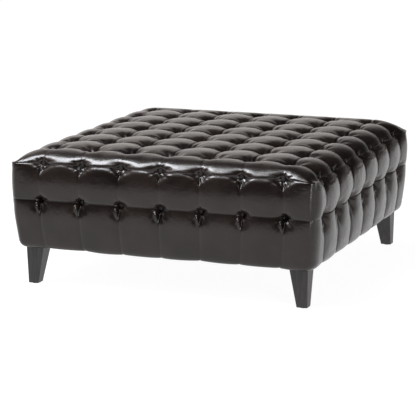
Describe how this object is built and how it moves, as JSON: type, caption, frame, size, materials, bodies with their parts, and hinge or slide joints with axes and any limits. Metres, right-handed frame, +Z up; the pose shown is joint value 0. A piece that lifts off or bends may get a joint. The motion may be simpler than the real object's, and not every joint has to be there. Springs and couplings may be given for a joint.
{
  "type": "tufted ottoman",
  "caption": "Square cocktail ottoman, deep tufted in a square grid in dark coated leather over a padded wooden frame, on short tapered wooden legs.",
  "frame": {"origin": "centre of the footprint, on the floor under the glides", "axes": "+Z up, the front faces -Y; all the sides are alike"},
  "size_m": [1, 1, 0.4379],
  "materials": {
    "cover_leather": "dark brown-black coated leather, satin to glossy, fine grain",
    "button_leather": "the same leather drawn over a metal button",
    "foam": "cream upholstery foam",
    "twine": "waxed polyester tufting twine",
    "washer_steel": "zinc-plated",
    "plywood": "raw birch plywood",
    "softwood": "raw planed pine",
    "leg_wood": "dark espresso stain, satin lacquer",
    "bolt_steel": "zinc-plated",
    "insert_brass": "turned",
    "glide_plastic": "matt",
    "dust_cloth": "black non-woven cloth",
    "fastener_steel": "zinc-plated"
  },
  "bodies": {
    "root": {"top_cover": "cover_leather", "cover_front": "cover_leather", "cover_back": "cover_leather", "cover_left": "cover_leather", "cover_right": "cover_leather", "foam_top": "foam", "foam_front": "foam", "foam_back": "foam", "foam_left": "foam", "foam_right": "foam", "deck": "plywood", "rail_front": "plywood", "rail_back": "plywood", "rail_left": "plywood", "rail_right": "plywood", "bearer_left": "softwood", "bearer_right": "softwood", "base_slat_left": "softwood", "base_slat_right": "softwood", "corner_block_front_left": "softwood", "corner_block_front_right": "softwood", "corner_block_back_left": "softwood", "corner_block_back_right": "softwood", "top_buttons": "button_leather", "edge_buttons": "button_leather", "side_buttons": "button_leather", "top_twine": "twine", "edge_twine": "twine", "side_twine": "twine", "top_washers": "washer_steel", "edge_washers": "washer_steel", "side_washers": "washer_steel", "leg_front_left": "leg_wood", "leg_front_right": "leg_wood", "leg_back_left": "leg_wood", "leg_back_right": "leg_wood", "hanger_bolts": "bolt_steel", "threaded_inserts": "insert_brass", "glides": "glide_plastic", "dust_cover": "dust_cloth", "staples": "fastener_steel", "frame_screws": "fastener_steel"}
  },
  "joints": []
}
